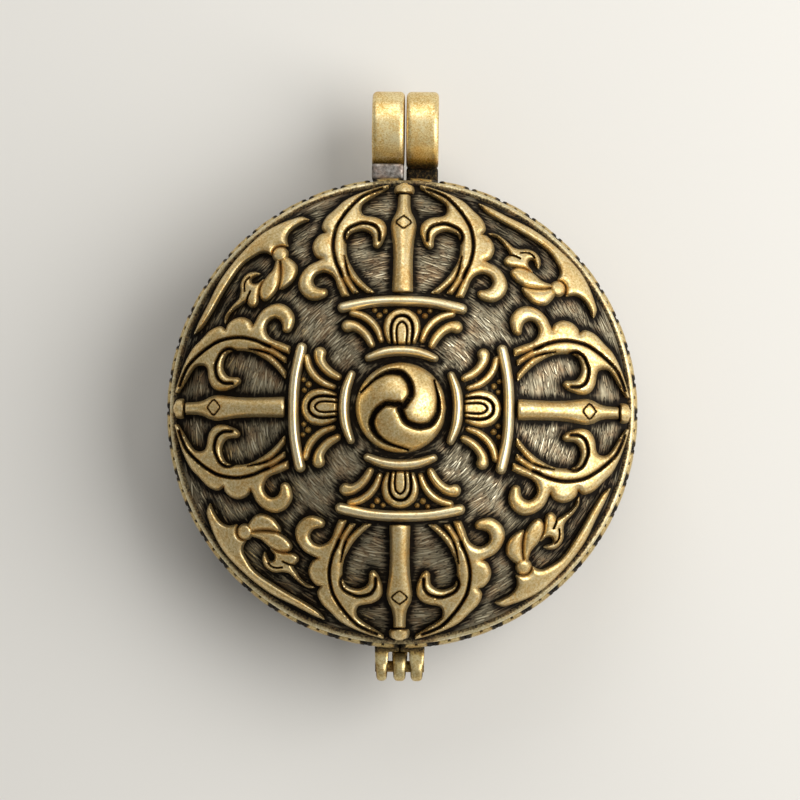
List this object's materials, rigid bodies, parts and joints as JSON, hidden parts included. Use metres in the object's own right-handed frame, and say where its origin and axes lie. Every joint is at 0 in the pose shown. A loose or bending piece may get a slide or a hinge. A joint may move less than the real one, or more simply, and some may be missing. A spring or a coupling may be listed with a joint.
{
  "type": "ghau amulet box",
  "caption": "Round domed brass amulet locket with a crossed vajra relief on its hinged cover and side-by-side loops that a neck cord locks shut.",
  "frame": {"origin": "centre of the flat rest under the case", "axes": "+Z out of the domed front, +Y towards the hanging loops, -Y towards the hinge, +X along the hinge pin"},
  "size_m": [0.05, 0.063, 0.0248],
  "materials": {
    "relief_brass": "antique brass, rubbed bright on the high places",
    "shell_brass": "antique brass with dark patina",
    "loop_brass": "antique brass, speckled",
    "hinge_brass": "antique brass",
    "collar_brass": "plain turned brass"
  },
  "bodies": {
    "case": {"back_case": "shell_brass", "seat_collar": "collar_brass", "case_knuckle": "hinge_brass", "case_loop": "loop_brass"},
    "cover": {"front_cover": "shell_brass", "rim_strip": "relief_brass", "cover_knuckle_left": "hinge_brass", "cover_knuckle_right": "hinge_brass", "hinge_pin": "hinge_brass", "cover_loop": "loop_brass", "hub_boss": "relief_brass", "flange_bar_top": "relief_brass", "collar_bar_top": "relief_brass", "lotus_top": "relief_brass", "shaft_top": "relief_brass", "prong_top_left": "relief_brass", "prong_top_right": "relief_brass", "flange_bar_left": "relief_brass", "collar_bar_left": "relief_brass", "lotus_left": "relief_brass", "shaft_left": "relief_brass", "prong_left_lower": "relief_brass", "prong_left_upper": "relief_brass", "flange_bar_bottom": "relief_brass", "collar_bar_bottom": "relief_brass", "lotus_bottom": "relief_brass", "shaft_bottom": "relief_brass", "prong_bottom_right": "relief_brass", "prong_bottom_left": "relief_brass", "flange_bar_right": "relief_brass", "collar_bar_right": "relief_brass", "lotus_right": "relief_brass", "shaft_right": "relief_brass", "prong_right_upper": "relief_brass", "prong_right_lower": "relief_brass", "scroll_top_right": "relief_brass", "scroll_top_left": "relief_brass", "scroll_bottom_left": "relief_brass", "scroll_bottom_right": "relief_brass"}
  },
  "joints": [
    {"name": "cover_hinge", "type": "hinge", "parent": "case", "child": "cover", "pos_m": [0, -0.027, 0.008], "axis": [1, 0, 0], "range_deg": [0, 150]}
  ]
}
